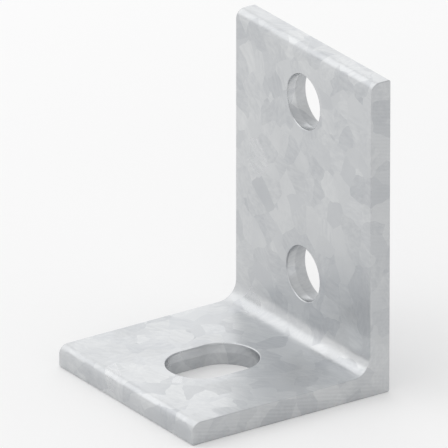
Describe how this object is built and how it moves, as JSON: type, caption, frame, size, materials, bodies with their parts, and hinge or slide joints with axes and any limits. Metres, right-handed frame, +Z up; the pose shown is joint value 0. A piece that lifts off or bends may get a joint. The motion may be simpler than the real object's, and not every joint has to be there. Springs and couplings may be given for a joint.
{
  "type": "angle bracket",
  "caption": "Angle bracket cut from rolled steel angle, with two round bolt holes in its tall leg and a slotted hole in its short leg.",
  "frame": {"origin": "middle of the heel, the sharp outer corner where the underside of the base leg meets the back of the upright leg", "axes": "+Z up along the upright leg, +Y out of the back of the upright leg, so the base leg runs towards -Y, and X along the heel, across the bracket's width"},
  "size_m": [0.06, 0.06, 0.085],
  "materials": {
    "galvanised_steel": "hot-dip galvanised hot-rolled steel: pale grey zinc with faint crystals, satin"
  },
  "bodies": {
    "root": {"bracket": "galvanised_steel"}
  },
  "joints": []
}
